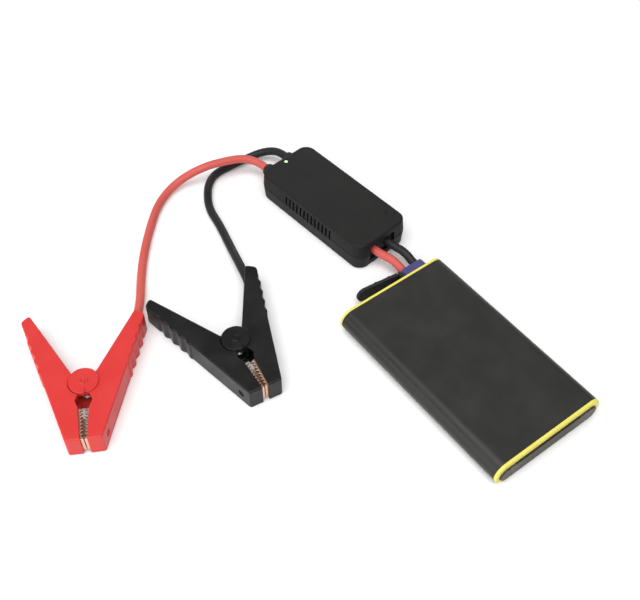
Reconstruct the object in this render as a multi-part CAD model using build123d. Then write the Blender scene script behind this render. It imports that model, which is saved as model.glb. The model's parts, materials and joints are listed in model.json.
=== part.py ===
"""Pocket jump starter: a slim battery bank, a plug-in control box and two clamp cables.

Millimetres, +Z up. The origin is the middle of the bank's underside, +X goes across the
bank, and +Y runs along it towards the plug end.
"""

from build123d import *
from math import cos, radians, sin, tan
import os

# ---- battery bank ----
bank_length = 135.0  # over both trim rings
bank_width = 80.0
bank_thick = 15.0
sleeve_wall = 1.2
ring_band = 1.8  # trim ring showing past the end of the sleeve
front_top_lip = 4.0  # face of the front ring above its opening
rear_top_lip = 2.6
ring_bottom_lip = 1.3
ring_side_lip = 3.0
ring_round = 0.6
spigot_depth = 4.0  # tongues of the ring inside the sleeve
spigot_wall = 1.0
fit_gap = 0.1  # between pieces that slip together
turn_gap = 0.05  # radial, between a shaft and its hole
plate_setback = 0.5  # plate's outer face behind the ring's
panel_proud = 1.0  # smoked window stands out of the front ring
panel_round = 0.5
boss_r = 2.3  # screw channels of the extrusion
boss_inset = 5.8  # channel's centre in from the bank's side
screw_r = 1.1
screw_head_r = 1.8
screw_length = 9.0

cell_width = 59.0
cell_length = 86.0
cell_thick = 3.8
cell_front = 56.0  # front end of the cells ahead of the bank's middle
foam_thick = 0.5
board_thick = 1.6
board_width = 58.0
board_front_y = 33.0
board_rear_gap = 6.6  # board's rear edge in from the end of the bank
torch_x = 26.0
torch_r = 4.0
torch_depth = 5.0
level_x = (-28.0, -24.0, -20.0, -16.0)
level_width = 1.8
level_depth = 3.0
carrier_reach = 31.0  # half width of what the two end plates carry inside

# ---- sockets in the rear end ----
plug_x = 22.0
plug_z = 7.0
plug_width = 16.9
plug_height = 10.0
plug_length = 7.1
pole_pitch = 9.4
pin_r = 2.0
pin_reach = 10.0
socket_width = 16.4
socket_height = 8.6
socket_depth = 13.0
contact_wall = 0.45
usb_x = -24.0
usb_width = 13.2
usb_height = 5.8
usb_depth = 14.0
charge_x = -11.5
charge_width = 7.8
charge_height = 2.9
charge_depth = 6.0
shell_wall = 0.4
button_x = 2.0
button_r = 2.8
button_proud = 0.6
button_travel = 0.5
switch_size = 6.0
rib_z = (10.6, 11.8)

# ---- dust cover ----
cover_hinge_x = 11.2
cover_hinge_y = bank_length / 2 + 5.5
cover_length = 31.0
cover_height = 10.4
cover_thick = 2.2
cover_open = 173.0  # degrees from closed over the jump socket
knuckle_r = 1.2
strap_thick = 2.4
strap_height = 6.0
knuckle_height = 2.4
hinge_gap = 0.15

# ---- control box ----
lay_y = bank_length / 2 - 67.5  # the harness moves with the end of the bank
box_x = 15.07
box_y = 146.83 + lay_y
box_yaw = 5.14
box_length = 98.2
box_width = 44.0
box_thick = 20.5
box_parting = 10.7
box_corner = 8.0
box_wall = 1.8
box_draft = 5.0
box_edge = 1.5
box_groove = 0.5
board_z = 4.6  # underside of the control board
board_post_r = 2.0
vent_count = 13
vent_pitch = 3.5
vent_width = 1.5
vent_low = 9.4
vent_high = 17.2
lead_offsets = (-7.0, 4.0)  # red and black short leads, across the box
lead_z = 10.25
recess_width = 21.0
recess_middle = sum(lead_offsets) / 2
recess_low = 4.6
recess_high = 16.4
block_depth = 3.4
block_setback = 2.6
boot_pitch = box_width / 2 - 4.5
boot_r = 5.8
boot_tip_r = 4.1
boot_length = 6.5
boot_neck_r = 4.6
case_boss_r = 3.0
case_boss_x = 15.0
case_boss_y = 40.0
case_screw_r = 1.2
case_head_r = 2.3
light_x = -1.4
light_y = 44.2
light_r = 1.2
mark_x = 15.7
mark_y = -37.8
mark_r = 3.2

# ---- cables ----
cable_d = 5.5
lead_bow = 1.2  # sideways and upwards, of each short lead
exit_run = 6.5  # straight run of each clamp cable out of its boot
red_route = [  # hand-set corners from the red exit to the red clamp
    (-2.6, 214.2, 11.4),
    (-8.2, 218.6, 12.8),
    (-18.5, 222, 13.8),
    (-34.5, 226.5, 13.8),
    (-52, 233, 5.5),
    (-71.5, 226, 2.8),
    (-89, 208.5, 2.8),
    (-104, 191, 2.8),
    (-116.5, 173.5, 2.8),
    (-128.5, 153, 6.2),
]
black_route = [  # the same from the black exit to the black clamp
    (14.6, 217, 8.6),
    (8.2, 222, 6.2),
    (-1.6, 225, 3.9),
    (-13, 226.6, 2.8),
    (-25.5, 226.4, 2.8),
    (-34.5, 221, 2.8),
    (-41.5, 212, 2.8),
    (-48, 199.5, 2.8),
    (-50.5, 183.5, 2.8),
    (-55.5, 164.5, 3.4),
    (-61.8, 142, 7),
]

# ---- clamps: drawn along +X towards the nose, pivot at the origin, fixed half at +Y ----
red_pivot = (-185.3, 117.3 + lay_y)
red_yaw = -118.8
black_pivot = (-99.7, 90.2 + lay_y)
black_yaw = -98.2
clamp_thick = 15.0
plate_thick = 2.0
clamp_wall = 1.8
nose_x = 38.6
nose_gap = 2.0  # cover to the centre line at the nose
nose_width = 8.2
nose_wall = 1.2
side_slope = 17.2  # degrees, outer side to the centre line
ear_r = 8.75
ear_gap = 0.35
inner_ear_r = 8.0
inner_ear_thick = 1.8
crotch = (-7.1, 7.2)
handle_slope = 28.6  # degrees, inner edge of a handle
fixed_handle = 48.0  # crotch to tip
moving_handle = 52.5
tip_width = 7.6
grip_start = -9.0
grip_pitch = 7.2
grip_count = 4
grip_wave = 0.55
cover_edge = 1.0
keyhole = (12.8, 5.0)
keyhole_neck = (17.0, 3.2)
jaw_start = 17.0
jaw_end_gap = 0.2  # jaw to the inside of the nose
jaw_sheet = 1.2
jaw_seat = 0.2  # jaw to the inside of its cover
tooth_gap = 0.25  # tooth tips to the centre line at the nose
tooth_flare = 0.5  # more than that at the back of the jaw
tooth_pitch = 2.2
tooth_depth = 1.9
jaw_screw_x = 31.5
jaw_screw_r = 1.2
jaw_head_r = 2.1
pivot_r = 2.0
pivot_head_r = 3.6
cap_thick = 1.4
cap_boss_r = 2.7
cap_boss_rise = 0.45
cap_dimple_r = 1.3
spring_r = 4.6
spring_wire = 1.4
spring_leg = 27.0
spring_leg_angle = 138.0
crimp_x = -30.0
crimp_r = 3.6
crimp_length = 8.0
entry_run = 12.0  # last run of the cable, in line with the crimp

half_length = bank_length / 2
inner_low = sleeve_wall
inner_high = bank_thick - sleeve_wall
opening_width = bank_width - 2 * ring_side_lip
opening_z = (bank_thick - front_top_lip + ring_bottom_lip) / 2
boss_x = bank_width / 2 - boss_inset
plate_outer = half_length - plate_setback
plate_inner = half_length - ring_band
plug_front = half_length + fit_gap


# ---- drawing helpers ----
def along_y(drawing, start, end):
    """Extrude a drawing of the XZ plane from one Y to another."""
    return extrude(Plane.XZ.offset(-end) * drawing, amount=end - start)


def up(drawing, low, high):
    """Extrude a drawing of the XY plane from one height to another."""
    return extrude(Plane.XY.offset(low) * drawing, amount=high - low)


def block(x, y, z):
    """Box between two X, two Y and two Z values."""
    size = (x[1] - x[0], y[1] - y[0], z[1] - z[0])
    middle = Pos((x[0] + x[1]) / 2, (y[0] + y[1]) / 2, (z[0] + z[1]) / 2)
    return middle * Box(*size)


def stadium(width, height, z):
    return Pos(0, z) * SlotOverall(width, height)


def rod_y(x, z, radius, start, end):
    return along_y(Pos(x, z) * Circle(radius), start, end)


def rod(start, end, radius):
    """Round bar between two points."""
    line = Line(start, end)
    return sweep(Plane(origin=line @ 0, z_dir=line % 0) * Circle(radius), path=line)


def mirrored(shape):
    return mirror(shape, about=Plane.YZ)


# ---- battery bank ----
def sleeve():
    """Extruded stadium tube with a screw channel down each side."""
    outside = stadium(bank_width, bank_thick, bank_thick / 2)
    inside_width = bank_width - 2 * sleeve_wall
    inside = stadium(inside_width, bank_thick - 2 * sleeve_wall, bank_thick / 2)
    side = bank_width / 2 - sleeve_wall / 2
    channel = Pos(boss_x, opening_z) * Circle(boss_r)
    web = Pos((boss_x + side) / 2, opening_z) * Rectangle(side - boss_x, 1.4)
    hole = Pos(boss_x, opening_z) * Circle(screw_r + turn_gap)
    right = channel + web - hole
    tube = outside - inside
    section = tube + right + mirrored(right) - hole - mirrored(hole)
    return along_y(section, -plate_inner, plate_inner)


def trim_ring(top_lip):
    """Trim ring at the rear: an eccentric stadium with a tongue that slips into the sleeve."""
    face = stadium(bank_width, bank_thick, bank_thick / 2)
    ring = along_y(face - opening(top_lip), plate_inner, half_length)
    ring = fillet(ring.faces().sort_by(Axis.Y)[-1].edges(), ring_round)
    reach = bank_width / 2 - bank_thick / 2 - 2
    tongue_y = (plate_inner - spigot_depth, plate_inner + ring_band / 2)
    tongue_z = (inner_high - fit_gap - spigot_wall, inner_high - fit_gap)
    return ring + block((-reach, reach), tongue_y, tongue_z)


def opening(top_lip, gap=0.0):
    """Stadium opening of a ring, or what fits in it with a gap all round."""
    height = bank_thick - top_lip - ring_bottom_lip
    middle = ring_bottom_lip + height / 2
    return stadium(opening_width - 2 * gap, height - 2 * gap, middle)


def plate_blank(top_lip):
    """Black plate inside a ring, with its two countersunk screw holes."""
    plate = along_y(opening(top_lip, fit_gap), plate_inner, plate_outer)
    for side in (-1, 1):
        x = side * boss_x
        plate -= rod_y(x, opening_z, screw_r + fit_gap, plate_inner - 1, half_length)
        plate -= rod_y(x, opening_z, screw_head_r + fit_gap, plate_outer - 0.8, half_length)
    return plate


def end_screws():
    screws = []
    for side in (-1, 1):
        x = side * boss_x
        head = rod_y(x, opening_z, screw_head_r, plate_outer - 0.8, plate_outer - 0.1)
        shaft = rod_y(x, opening_z, screw_r, plate_outer - screw_length, plate_outer - 0.5)
        screws.append(head + shaft)
    return screws


def front_end():
    """Smoked window, frame, torch and level lights, built at the rear and turned round."""
    window = along_y(opening(front_top_lip, fit_gap), plate_outer, half_length + panel_proud)
    window = fillet(window.faces().sort_by(Axis.Y)[-1].edges(), panel_round)
    frame = plate_blank(front_top_lip)
    frame += block((-carrier_reach, carrier_reach), (plate_inner - 3, plate_inner), (3.0, 10.0))
    frame -= rod_y(torch_x, opening_z, torch_r + fit_gap, 0, half_length)
    for x in level_x:
        half = level_width / 2 + fit_gap
        frame -= block((x - half, x + half), (0, half_length), (opening_z - half, opening_z + half))
    cup = rod_y(torch_x, opening_z, torch_r, plate_outer - torch_depth, plate_outer)
    bowl = Pos(torch_x, plate_outer - torch_depth / 2 + 0.3, opening_z) * Rot(-90, 0, 0)
    cup -= bowl * Cone(1.6, torch_r - 0.4, torch_depth - 0.6)
    cup -= rod_y(torch_x, opening_z, 1.6, plate_outer - torch_depth - 1, plate_outer - 4)
    led_low = plate_outer - torch_depth - 1.2
    led = rod_y(torch_x, opening_z, 1.5, led_low, plate_outer - torch_depth + 1)
    lights = []
    for x in level_x:
        half = level_width / 2
        span = (plate_outer - level_depth - 1.2, plate_outer)
        lights.append(
            block((x - half, x + half), span, (opening_z - half, opening_z + half))
        )
    back = plate_outer - torch_depth - 1.2
    board = block((-30, 30), (back - 1.2, back), (2.7, 11.2))
    turn = Plane.XZ
    return {
        "front_window": mirror(window, about=turn),
        "front_frame": mirror(frame, about=turn),
        "torch_reflector": mirror(cup, about=turn),
        "torch_led": mirror(led, about=turn),
        "level_lights": [mirror(s, about=turn) for s in lights],
        "front_board": mirror(board, about=turn),
    }


def rear_plate():
    """Plate with the openings for the sockets, the button and the dust-cover strap."""
    plate = plate_blank(rear_top_lip)
    plate += block((-carrier_reach, carrier_reach), (plate_inner - 3, plate_inner + 0.4), rib_z)
    plate -= window(plug_x, socket_width, plug_z - socket_height / 2, socket_height)
    plate -= window(usb_x, usb_width, board_top() + fit_gap, usb_height)
    plate -= window(charge_x, charge_width, board_top() + fit_gap, charge_height)
    plate -= window(cover_hinge_x, strap_thick, plug_z - strap_height / 2, strap_height)
    return plate - rod_y(button_x, opening_z, button_r + turn_gap, 0, half_length)


def window(x, width, low, height):
    """Cutter for a rectangular hole through the rear plate, with a gap all round."""
    half = width / 2 + fit_gap
    return block((x - half, x + half), (0, half_length), (low - fit_gap, low + height + fit_gap))


def board_top():
    return inner_low + 0.6 + board_thick


def jump_socket():
    """Blue two-pole housing; its round contacts and their tails sit in it."""
    x = (plug_x - socket_width / 2, plug_x + socket_width / 2)
    z = (plug_z - socket_height / 2, plug_z + socket_height / 2)
    rear = plate_outer
    body = block(x, (rear - socket_depth, rear), z)
    contacts = []
    bars = []
    tube_r = pin_r + turn_gap + contact_wall
    front = rear - socket_depth
    for side in (-1, 1):
        px = plug_x + side * pole_pitch / 2
        body -= rod_y(px, plug_z, tube_r + turn_gap, front + 1.5, rear + 1)
        body -= rod_y(px, plug_z, 1.3 + turn_gap, front - 1, front + 2)
        tube = rod_y(px, plug_z, tube_r, front + 1.6, rear - 0.3)
        tube -= rod_y(px, plug_z, pin_r + turn_gap, front + 2.4, rear + 1)
        contacts.append(tube + rod_y(px, plug_z, 1.3, front - 4, front + 2))
        bars.append(block((px - 2, px + 2), (front - 9, front - 0.2), (board_top(), plug_z - 1.3)))
    return body, contacts, bars


def metal_socket(x, width, height, depth):
    """Pressed-steel shell of a data socket, open at the rear, with its tongue."""
    low = board_top() + fit_gap
    rear = plate_outer + 0.1
    shell = block((x - width / 2, x + width / 2), (rear - depth, rear), (low, low + height))
    inner = (x - width / 2 + shell_wall, x + width / 2 - shell_wall)
    inner_z = (low + shell_wall, low + height - shell_wall)
    shell -= block(inner, (rear - depth + shell_wall, rear + 1), inner_z)
    thick = height / 3
    top = low + height - shell_wall - 0.25 * height
    tongue_x = (inner[0] + 0.6, inner[1] - 0.6)
    back = rear - depth + shell_wall
    tongue = block(tongue_x, (back, rear - 0.25 * depth), (top - thick, top))
    return shell, tongue


def power_button():
    """Round key through the rear plate, with the collar that keeps it in."""
    rear = plate_outer
    key = rod_y(button_x, opening_z, button_r, plate_inner - 1.9, rear + button_proud)
    key = fillet(key.faces().sort_by(Axis.Y)[-1].edges(), 0.3)
    return key + rod_y(button_x, opening_z, button_r + 0.7, plate_inner - 1.2, plate_inner - 0.3)


def button_switch():
    half = switch_size / 2
    face = plate_inner - 1.9 - button_travel - 0.1
    body = block(
        (button_x - half, button_x + half),
        (face - 3.6, face - 0.6),
        (board_top(), board_top() + switch_size),
    )
    return body + rod_y(button_x, opening_z, 1.5, face - 1, face)


def cover_strap():
    """Rubber strap through the rear plate, with a knuckle above and below the flap's."""
    half = strap_thick / 2
    slim = knuckle_r * 0.75
    x = (cover_hinge_x - half, cover_hinge_x + half)
    z = (plug_z - strap_height / 2, plug_z + strap_height / 2)
    strap = block(x, (plate_inner - 0.4, cover_hinge_y - knuckle_r - 0.4), z)
    strap += block((x[0] - 1, x[1] + 1), (plate_inner - 2, plate_inner - 0.3), z)
    for side in (-1, 1):
        middle = plug_z + side * cover_height * 0.375
        low = middle - knuckle_height / 2
        high = middle + knuckle_height / 2
        arm_x = (cover_hinge_x - slim, cover_hinge_x + slim)
        strap += up(Pos(cover_hinge_x, cover_hinge_y) * Circle(knuckle_r), low, high)
        strap += block(arm_x, (cover_hinge_y - knuckle_r - 2.4, cover_hinge_y), (low, high))
    return strap


def dust_cover():
    """Rubber flap with a rounded free end and two stubs for the socket's bores."""
    low = -cover_height / 2
    plate_shape = Pos(cover_length / 2, 0) * SlotOverall(cover_length, cover_height)
    plate_shape += Pos(cover_length / 4, 0) * Rectangle(cover_length / 2, cover_height)
    flap = along_y(plate_shape, -cover_thick / 2, cover_thick / 2)
    flap = fillet(flap.faces().sort_by(Axis.Y)[0].edges(), 0.5)
    for side in (-1, 1):
        x = plug_x - cover_hinge_x + side * pole_pitch / 2
        flap += rod_y(x, 0, pin_r - 0.1, -cover_thick / 2 - 2.5, 0)
    flap -= up(Circle(knuckle_r + 0.5), low - 1, -low + 1)
    band = cover_height * 0.375 - knuckle_height / 2 - hinge_gap
    flap += up(Circle(knuckle_r), -band, band)
    root = block((0, knuckle_r + 1), (-cover_thick / 2 + 0.2, cover_thick / 2 - 0.2), (-band, band))
    flap += root
    return Pos(cover_hinge_x, cover_hinge_y, plug_z) * Rot(0, 0, cover_open) * flap


def bank_parts():
    rear_ring = trim_ring(rear_top_lip)
    body, contacts, bars = jump_socket()
    usb_shell, usb_tongue = metal_socket(usb_x, usb_width, usb_height, usb_depth)
    charge_shell, charge_tongue = metal_socket(charge_x, charge_width, charge_height, charge_depth)
    half = cell_width / 2
    foam_top = inner_low + 0.1 + foam_thick
    cells = []
    tabs = []
    rear = cell_length - cell_front
    for layer in range(3):
        low = foam_top + 0.1 + layer * (cell_thick + fit_gap)
        cells.append(block((-half, half), (-cell_front, rear), (low, low + cell_thick)))
        x = (layer - 1) * 16.0
        mid = low + cell_thick / 2
        foot = block((x - 4, x + 4), (rear + 1, board_front_y + 3), (board_top(), board_top() + 0.3))
        riser_z = (min(mid, board_top()), max(mid + 0.3, board_top() + 0.3))
        riser = block((x - 4, x + 4), (rear + 1, rear + 1.3), riser_z)
        tabs.append(foot + riser + block((x - 4, x + 4), (rear, rear + 1.3), (mid, mid + 0.3)))
    socket_front = plate_outer - socket_depth
    board_rear = half_length - board_rear_gap
    low = board_top() - board_thick
    board = block((-board_width / 2, board_width / 2), (board_front_y, board_rear), (low, board_top()))
    notch_x = plug_x - socket_width / 2 - 2
    board -= block((notch_x, board_width), (socket_front - 2, board_rear + 1), (low - 1, low + 3))
    top = board_top()
    parts = [
        block((-24, -12), (38, 50), (top, top + 6)),
        block((-6, 2), (40, 46), (top, top + 3)),
        block((6, 12), (40, 46), (top, top + 1.6)),
        up(Pos(8, 54) * Circle(3), top, top + 7),
    ]
    foam = block((-half, half), (-cell_front, rear), (inner_low + 0.1, foam_top))
    flip = Plane.XZ
    screws = end_screws()
    nodes = {
        "sleeve": sleeve(),
        "rear_trim_ring": rear_ring,
        "front_trim_ring": mirror(trim_ring(front_top_lip), about=flip),
        "rear_plate": rear_plate(),
        "end_screws": screws + [mirror(s, about=flip) for s in screws],
        "battery_cells": cells,
        "foam_pad": foam,
        "main_board": board,
        "board_parts": parts,
        "jump_socket": body,
        "socket_contacts": contacts,
        "bus_bars": bars + tabs,
        "data_sockets": [usb_shell, charge_shell],
        "socket_tongues": [usb_tongue, charge_tongue],
        "power_button": power_button(),
        "button_switch": button_switch(),
        "cover_strap": cover_strap(),
        "dust_cover": dust_cover(),
    }
    nodes.update(front_end())
    return nodes


# ---- plug and short leads ----
def box_place():
    return Pos(box_x, box_y, 0) * Rot(0, 0, box_yaw)


def box_point(x, y, z):
    """A point of the control box's own frame, in the object's frame."""
    c = cos(radians(box_yaw))
    s = sin(radians(box_yaw))
    return (box_x + x * c - y * s, box_y + x * s + y * c, z)


def plug_shell():
    """Blue moulded shell with two chamfered corners that key it, and two round collars."""
    shape = Rectangle(plug_width, plug_height)
    top = shape.vertices().group_by(Axis.Y)[-1]
    shape = chamfer(top, 1.6)
    shape = fillet(shape.vertices().group_by(Axis.Y)[0], 0.8)
    shell = along_y(Pos(plug_x, plug_z) * shape, plug_front, plug_front + plug_length)
    shell = fillet(shell.faces().sort_by(Axis.Y)[-1].edges(), 0.5)
    for side in (-1, 1):
        x = plug_x + side * pole_pitch / 2
        shell -= rod_y(x, plug_z, pin_r + 0.6, plug_front - 1, plug_front + 3)
        shell -= rod_y(x, plug_z, cable_d / 2 + turn_gap, plug_front + 4.5, plug_front + 10)
    return shell


def plug_pins():
    pins = []
    for side in (-1, 1):
        x = plug_x + side * pole_pitch / 2
        pin = rod_y(x, plug_z, pin_r, plug_front - pin_reach, plug_front + 3)
        pin = fillet(pin.faces().sort_by(Axis.Y)[0].edges(), 0.8)
        pins.append(pin + rod_y(x, plug_z, pin_r + 0.55, plug_front + 1.6, plug_front + 3))
    return pins


def bend_radii(points, share=0.45):
    """Radius of each corner: its share of the shorter run over tan(half the turn)."""
    radii = []
    for before, corner, after in zip(points, points[1:], points[2:]):
        run_in = Vector(*corner) - Vector(*before)
        run_out = Vector(*after) - Vector(*corner)
        turn = run_in.get_angle(run_out)
        shorter = min(run_in.length, run_out.length)
        radii.append(share * shorter / tan(radians(turn) / 2))
    return radii


def tube(name, points):
    """Round cable along straight runs joined by tangent arcs."""
    radii = bend_radii(points)
    path = FilletPolyline(*points, radius=radii)
    section = Plane(origin=path @ 0, z_dir=path % 0) * Circle(cable_d / 2)
    solid = sweep(section, path=path)
    area = Circle(cable_d / 2).area
    ratio = solid.volume / area / path.length
    print(name, "length", round(path.length, 1), "volume over section times length", round(ratio, 4))
    print("   radii", [round(r) for r in radii], "least in diameters", round(min(radii) / cable_d, 1))
    return solid


def short_leads():
    """The two leads from the plug into the strain-relief block, with a slight bow."""
    start = plug_front + 4.6
    shell_end = plug_front + plug_length
    leads = {}
    names = ("short_lead_red", "short_lead_black")
    for name, side, lead_x in zip(names, (-1, 1), lead_offsets):
        x = plug_x + side * pole_pitch / 2
        mouth = box_point(lead_x, -box_length / 2 - 2.0, lead_z)
        inside = box_point(lead_x, -box_length / 2 + block_setback + block_depth, lead_z)
        exit_end = (x, shell_end + 3, plug_z)
        bow = ((x + mouth[0]) / 2 + lead_bow, (shell_end + mouth[1]) / 2, (plug_z + lead_z) / 2 + lead_bow)
        leads[name] = tube(name, [(x, start, plug_z), exit_end, bow, mouth, inside])
    return leads


def clamp_point(pivot, yaw, x, y, z):
    """A point of a clamp's own frame, in the object's frame."""
    c = cos(radians(yaw))
    s = sin(radians(yaw))
    return (pivot[0] + x * c - y * s, pivot[1] + x * s + y * c, z)


def clamp_cable(name, side, route, pivot, yaw):
    """From the boot's tip, along the route, to the crimp inside the fixed handle."""
    tip = box_length / 2 + fit_gap + boot_length
    start = box_point(side * boot_pitch / 2, tip, lead_z)
    bend = box_point(side * boot_pitch / 2, tip + exit_run, lead_z)
    slope = radians(-side_slope)
    middle = clamp_thick / 2
    crimp_end = clamp_point(pivot, yaw, crimp_x, crimp_y(), middle)
    last = clamp_point(
        pivot, yaw, crimp_x - entry_run * cos(slope), crimp_y() - entry_run * sin(slope), middle
    )
    laid = [(x, y + lay_y, z) for x, y, z in route]
    return tube(name, [start, bend, *laid, last, crimp_end])


# ---- control box ----
def box_prism(wall, height):
    """Drafted half of the box, from the parting plane up; wall insets it."""
    shape = RectangleRounded(box_width - 2 * wall, box_length - 2 * wall, box_corner - wall)
    return extrude(shape, amount=height - wall, taper=box_draft)


def box_half(height):
    outer = box_prism(0, height)
    outer = fillet(outer.faces().sort_by(Axis.Z)[-1].edges(), box_edge)
    outer = chamfer(outer.faces().sort_by(Axis.Z)[0].edges(), box_groove)
    return outer - box_prism(box_wall, height)


def case_bosses(low, high, radius):
    group = []
    for x in (-case_boss_x, case_boss_x):
        for y in (-case_boss_y, case_boss_y):
            group.append(up(Pos(x, y) * Circle(radius), low, high))
    return group


def box_shells():
    top_height = box_thick - box_parting
    top = Pos(0, 0, box_parting) * box_half(top_height)
    bottom = Pos(0, 0, box_parting) * mirror(box_half(box_parting), about=Plane.XY)
    for boss in case_bosses(box_parting, box_thick - box_wall + 0.2, case_boss_r):
        top += boss
    for boss in case_bosses(0.4, box_parting, case_boss_r):
        bottom += boss
    for x in (-13, 13):
        for y in (-30, 0, 30):
            bottom += up(Pos(x, y) * Circle(board_post_r), box_wall - 0.2, board_z)
    for hole in case_bosses(box_parting - 1, box_thick - box_wall - 1.0, case_screw_r + turn_gap):
        top -= hole
    for hole in case_bosses(-1, box_parting + 1, case_screw_r + fit_gap):
        bottom -= hole
    for hole in case_bosses(-1, 4.0, case_head_r + fit_gap):
        bottom -= hole
    cuts = []
    for index in range(vent_count):
        y = (index - (vent_count - 1) / 2) * vent_pitch
        for side in (-1, 1):
            middle = side * (box_width / 2 - box_wall / 2)
            slot_y = (y - vent_width / 2, y + vent_width / 2)
            cuts.append(block((middle - 2.2, middle + 2.2), slot_y, (vent_low, vent_high)))
    end = box_length / 2
    recess_x = (recess_middle - recess_width / 2, recess_middle + recess_width / 2)
    cuts.append(block(recess_x, (-end - 1, -end + box_wall + 1.5), (recess_low, recess_high)))
    for side in (-1, 1):
        cuts.append(rod_y(side * boot_pitch / 2, lead_z, boot_neck_r + fit_gap, end - 4, end + 1))
    light = up(Pos(light_x, light_y) * Circle(light_r + turn_gap), box_thick - 4, box_thick + 1)
    ring = Circle(mark_r) - Circle(mark_r - 0.5)
    mark = up(Pos(mark_x, mark_y) * ring, box_thick - 0.25, box_thick + 1)
    for cut in cuts:
        top -= cut
        bottom -= cut
    return top - light - mark, bottom


def case_screws():
    screws = []
    for head in case_bosses(2.1, 3.9, case_head_r):
        screws.append(head)
    for index, shaft in enumerate(case_bosses(3.0, 16.0, case_screw_r)):
        screws[index] = screws[index] + shaft
    return screws


def strain_block():
    """Rubber block that grips the two short leads where they enter the box."""
    end = box_length / 2
    outer_face = -end + block_setback
    half = recess_width / 2 - fit_gap
    z = (recess_low + fit_gap, recess_high - fit_gap)
    back = outer_face + block_depth
    flange_z = (z[0] - 0.6, z[1] + 0.6)
    low = recess_middle - half
    high = recess_middle + half
    body = block((low, high), (outer_face, -end + box_wall + 1.4), z)
    body += block((low - 1.5, high + 1.5), (-end + box_wall + 1.6, back), flange_z)
    body += block((low + 1, high - 1), (outer_face + 0.1, back - 0.5), (z[0] + 0.5, z[1] - 0.5))
    for x in lead_offsets:
        body -= rod_y(x, lead_z, cable_d / 2 + turn_gap, -end - 2, back + 1)
    return body


def cable_boots():
    """Tapered rubber boot at each clamp-cable exit, with its collar inside the wall."""
    end = box_length / 2
    boots = []
    for side in (-1, 1):
        x = side * boot_pitch / 2
        neck = rod_y(x, lead_z, boot_neck_r, end - box_wall - 2, end + 1)
        collar = rod_y(x, lead_z, boot_r, end - box_wall - 2.6, end - box_wall - 0.9)
        middle = Pos(x, end + 0.1 + boot_length / 2, lead_z) * Rot(-90, 0, 0)
        boots.append(neck + collar + middle * Cone(boot_r, boot_tip_r, boot_length))
    return boots


def box_inside():
    """Control board with its relays, heat sink, capacitor, light and wire stubs."""
    top = board_z + board_thick
    board_half = box_width / 2 - 5
    relay_x = board_half / 2 - 0.1
    relay_half = board_half / 2 - 1
    board = block((-board_half, board_half), (-42, 42), (board_z, top))
    for hole in case_bosses(0, 20, case_boss_r + 0.4):
        board -= hole
    relays = []
    for x in (-relay_x, relay_x):
        relays.append(block((x - relay_half, x + relay_half), (2, 20), (top, top + 11)))
    fins = block((-10, 10), (-20, -6), (top, top + 3))
    for index in range(5):
        x = -9 + index * 4.5
        fins += block((x - 0.75, x + 0.75), (-20, -6), (top, top + 9))
    can = Pos(-8, -28, top + 4.1) * Rot(0, 90, 0) * Cylinder(4, 11)
    chips = [block((x - 3, x + 3), (26, 33), (top, top + 2)) for x in (-8, 0, 8)]
    end = box_length / 2
    stubs = []
    inner = -end + block_setback + block_depth
    for side, lead_x in zip((-1, 1), lead_offsets):
        x = side * boot_pitch / 2
        stubs.append(rod_y(x, lead_z, cable_d / 2, 35, end - box_wall - 2.6))
        stubs.append(rod_y(lead_x, lead_z, cable_d / 2, inner, -34.2))
    light = up(Pos(light_x, light_y) * Circle(light_r), box_thick - 2.6, box_thick)
    under_roof = box_thick - box_wall
    light += up(Pos(light_x, light_y) * Circle(light_r + 0.6), under_roof - 2.0, under_roof - 0.4)
    return {
        "control_board": board,
        "relays": relays,
        "heat_sink": fins,
        "box_capacitor": can,
        "power_chips": chips,
        "box_wires": stubs,
        "status_light": light,
    }


def box_parts():
    top, bottom = box_shells()
    nodes = {
        "box_top": top,
        "box_bottom": bottom,
        "case_screws": case_screws(),
        "strain_block": strain_block(),
        "cable_boots": cable_boots(),
    }
    nodes.update(box_inside())
    place = box_place()
    return {
        name: [place * s for s in shape] if isinstance(shape, list) else place * shape
        for name, shape in nodes.items()
    }


# ---- clamps ----
def side_y(x, inset=0.0):
    """Outer side of the fixed half at a given X; inset moves it inwards, square to itself."""
    slope = radians(side_slope)
    return nose_gap + nose_width + (nose_x - x) * tan(slope) - inset / cos(slope)


def handle_point(reach, sideways=0.0):
    """A point along the inner edge of the handle, and sideways towards the outer side."""
    a = radians(180 - handle_slope)
    x = crotch[0] + reach * cos(a)
    y = crotch[1] + reach * sin(a)
    return (x + sideways * sin(a), y - sideways * cos(a))


def cover_outline(handle):
    """Plan of the fixed half; the grip's waves are a sine along the outer side."""
    tip_in = handle_point(handle)
    tip_out = handle_point(handle - 1.0, tip_width)
    grip_end = grip_start - grip_pitch * grip_count
    slope = radians(side_slope)
    wave = []
    steps = grip_count * 4
    for index in range(steps + 1):
        x = grip_start + (grip_end - grip_start) * index / steps
        rise = grip_wave * sin(index / 4 * radians(360))
        wave.append((x + rise * sin(slope), side_y(x) + rise * cos(slope)))
    tip_out = (tip_out[0], side_y(tip_out[0]))
    nose_out = (nose_x, side_y(nose_x))
    lines = Polyline((nose_x, nose_gap), nose_out, wave[0])
    lines += Spline(*wave)
    lines += Polyline(
        wave[-1],
        tip_out,
        tip_in,
        crotch,
        (-2, 2),
        (ear_r - 1, 3),
        keyhole,
        keyhole_neck,
        (nose_x, nose_gap),
    )
    plan = make_face(lines)
    rounds = [(nose_out, 1.4), (tip_out, 3.0), (tip_in, 1.6), (keyhole, 2.2), (keyhole_neck, 2.0)]
    rounds.append((crotch, 2.0))
    for point, radius in rounds:
        corner = plan.vertices().sort_by_distance((*point, 0))[0]
        plan = fillet(corner, radius)
    return plan


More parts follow.
